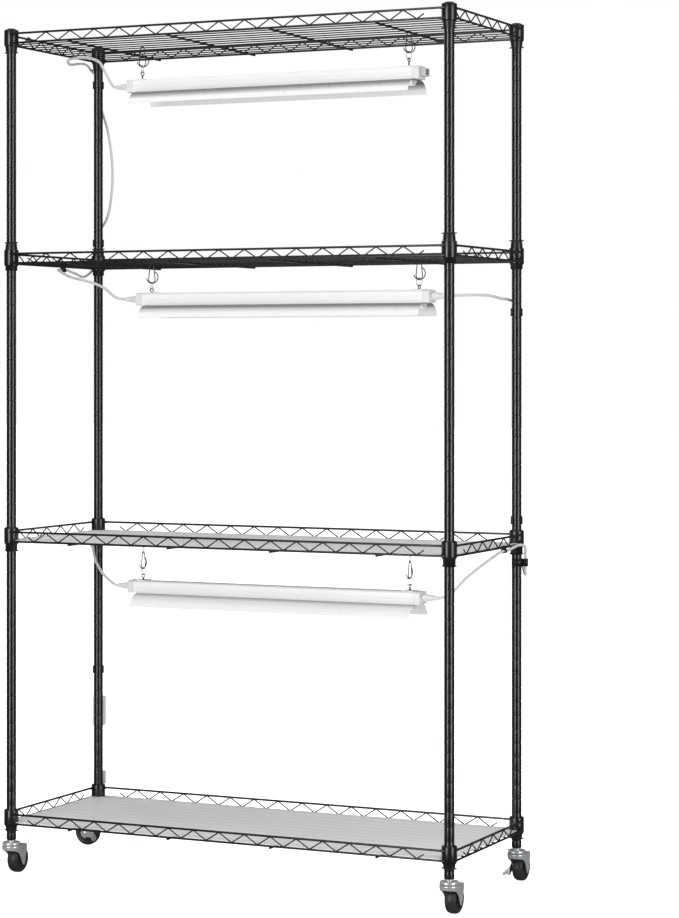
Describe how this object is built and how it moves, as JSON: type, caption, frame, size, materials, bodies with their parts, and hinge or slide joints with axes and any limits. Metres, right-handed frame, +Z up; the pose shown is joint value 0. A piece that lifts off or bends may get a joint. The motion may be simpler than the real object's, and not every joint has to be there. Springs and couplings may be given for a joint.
{
  "type": "wire shelving rack with grow lights",
  "caption": "Wheeled wire shelving rack whose tiers hang from grooved posts, with bar grow lights on hooks under the upper shelves, linking cords and clear shelf liners.",
  "frame": {"origin": "on the floor, midway between the four posts", "axes": "+X along the shelves to the right as seen from the front, +Y to the rear, +Z up the posts"},
  "size_m": [0.9445, 0.3895, 1.5673],
  "materials": {
    "frame_black": "semi-gloss black powder coat over steel tube and wire",
    "black_plastic": "satin black moulded plastic",
    "zinc": "bright zinc plate",
    "hub": "moulded black plastic, slight sheen",
    "tyre": "smooth dark polyurethane tread",
    "liner": "translucent pale grey plastic sheet",
    "light_white": "satin white paint",
    "reflector": "white inside and out, soft sheen",
    "lens": "frosted diffuser",
    "board": "white printed board with pale chips",
    "cap_white": "moulded white end cap",
    "hanger_dark": "dark plated wire and stamped steel",
    "cord_white": "smooth white flexible jacket",
    "switch_white": "moulded white plastic",
    "contact_brass": "bright stamped contact"
  },
  "bodies": {
    "rack": {"post_front_left": "frame_black", "post_front_right": "frame_black", "post_rear_left": "frame_black", "post_rear_right": "frame_black", "post_inserts": "zinc", "post_studs": "zinc", "post_caps": "black_plastic", "shelf_top": "frame_black", "shelf_second": "frame_black", "shelf_third": "frame_black", "shelf_bottom": "frame_black", "split_sleeves": "black_plastic", "liner_third": "liner", "liner_bottom": "liner", "caster_stems": "zinc", "cord_upper": "cord_white", "cord_middle": "cord_white", "power_cord": "cord_white", "cable_clips": "black_plastic", "switch_base": "switch_white", "switch_cover": "switch_white", "switch_contacts": "contact_brass", "wall_plug": "cord_white"},
    "caster_front_left": {"fork_front_left": "zinc", "axle_front_left": "zinc"},
    "caster_front_right": {"fork_front_right": "zinc", "axle_front_right": "zinc"},
    "caster_rear_left": {"fork_rear_left": "zinc", "axle_rear_left": "zinc"},
    "caster_rear_right": {"fork_rear_right": "zinc", "axle_rear_right": "zinc"},
    "wheel_front_left": {"hub_front_left": "hub", "tyre_front_left": "tyre"},
    "wheel_front_right": {"hub_front_right": "hub", "tyre_front_right": "tyre"},
    "wheel_rear_left": {"hub_rear_left": "hub", "tyre_rear_left": "tyre"},
    "wheel_rear_right": {"hub_rear_right": "hub", "tyre_rear_right": "tyre"},
    "brake_left": {"brake_pedal_left": "zinc"},
    "brake_right": {"brake_pedal_right": "zinc"},
    "light_1": {"light_1_housing": "light_white", "light_1_reflector": "reflector", "light_1_lens": "lens", "light_1_board": "board", "light_1_caps": "cap_white", "light_1_hangers": "hanger_dark"},
    "light_2": {"light_2_housing": "light_white", "light_2_reflector": "reflector", "light_2_lens": "lens", "light_2_board": "board", "light_2_caps": "cap_white", "light_2_hangers": "hanger_dark"},
    "light_3": {"light_3_housing": "light_white", "light_3_reflector": "reflector", "light_3_lens": "lens", "light_3_board": "board", "light_3_caps": "cap_white", "light_3_hangers": "hanger_dark"},
    "rocker": {"switch_rocker": "switch_white"}
  },
  "joints": [
    {"name": "swivel_front_left", "type": "hinge", "parent": "rack", "child": "caster_front_left", "pos_m": [-0.438, -0.162, 0.05], "axis": [0, 0, 1], "continuous": true},
    {"name": "swivel_front_right", "type": "hinge", "parent": "rack", "child": "caster_front_right", "pos_m": [0.438, -0.162, 0.05], "axis": [0, 0, 1], "continuous": true},
    {"name": "swivel_rear_left", "type": "hinge", "parent": "rack", "child": "caster_rear_left", "pos_m": [-0.438, 0.162, 0.05], "axis": [0, 0, 1], "continuous": true},
    {"name": "swivel_rear_right", "type": "hinge", "parent": "rack", "child": "caster_rear_right", "pos_m": [0.438, 0.162, 0.05], "axis": [0, 0, 1], "continuous": true},
    {"name": "wheel_spin_front_left", "type": "hinge", "parent": "caster_front_left", "child": "wheel_front_left", "pos_m": [-0.438, -0.139, 0.025], "axis": [1, 0, 0], "continuous": true},
    {"name": "wheel_spin_front_right", "type": "hinge", "parent": "caster_front_right", "child": "wheel_front_right", "pos_m": [0.438, -0.139, 0.025], "axis": [1, 0, 0], "continuous": true},
    {"name": "wheel_spin_rear_left", "type": "hinge", "parent": "caster_rear_left", "child": "wheel_rear_left", "pos_m": [-0.461, 0.162, 0.025], "axis": [0, 1, 0], "continuous": true},
    {"name": "wheel_spin_rear_right", "type": "hinge", "parent": "caster_rear_right", "child": "wheel_rear_right", "pos_m": [0.438, 0.185, 0.025], "axis": [1, 0, 0], "continuous": true},
    {"name": "brake_press_left", "type": "hinge", "parent": "caster_rear_left", "child": "brake_left", "pos_m": [-0.461, 0.162, 0.025], "axis": [0, 1, 0], "range_deg": [0, 12]},
    {"name": "brake_press_right", "type": "hinge", "parent": "caster_rear_right", "child": "brake_right", "pos_m": [0.438, 0.185, 0.025], "axis": [1, 0, 0], "range_deg": [0, 12]},
    {"name": "light_swing_1", "type": "hinge", "parent": "rack", "child": "light_1", "pos_m": [0.022, 0, 1.5392], "axis": [1, 0, 0], "range_deg": [-20, 20]},
    {"name": "light_swing_2", "type": "hinge", "parent": "rack", "child": "light_2", "pos_m": [0.042, 0, 1.1322], "axis": [1, 0, 0], "range_deg": [-20, 20]},
    {"name": "light_swing_3", "type": "hinge", "parent": "rack", "child": "light_3", "pos_m": [0.024, 0, 0.6172], "axis": [1, 0, 0], "range_deg": [-20, 20]},
    {"name": "rocker_press", "type": "hinge", "parent": "rack", "child": "rocker", "pos_m": [-0.44877, 0.18581, 0.262], "axis": [0.9063, 0.4226, 0], "range_deg": [-16, 0]}
  ]
}
